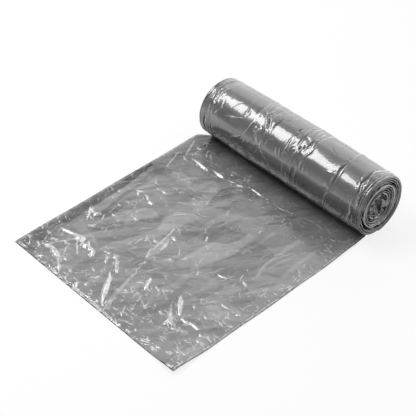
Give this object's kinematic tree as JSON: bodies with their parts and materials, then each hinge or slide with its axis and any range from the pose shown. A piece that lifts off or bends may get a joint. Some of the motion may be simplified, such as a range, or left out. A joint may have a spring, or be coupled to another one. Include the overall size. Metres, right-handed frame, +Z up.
{
  "type": "bin bag roll",
  "caption": "Roll of glossy grey plastic bin bags wound without a core, its first folded bag unrolled flat on the table in front of it",
  "frame": {"origin": "on the table, under the roll's axis and midway along the roll", "axes": "+X along the roll's axis towards its right end, -Y the way the first bag is unrolled, +Z up"},
  "size_m": [0.2414, 0.3071, 0.0692],
  "materials": {
    "film": "silver-grey polyethylene film, glossy and sharply creased"
  },
  "bodies": {
    "root": {"bag_roll": "film"}
  },
  "joints": []
}
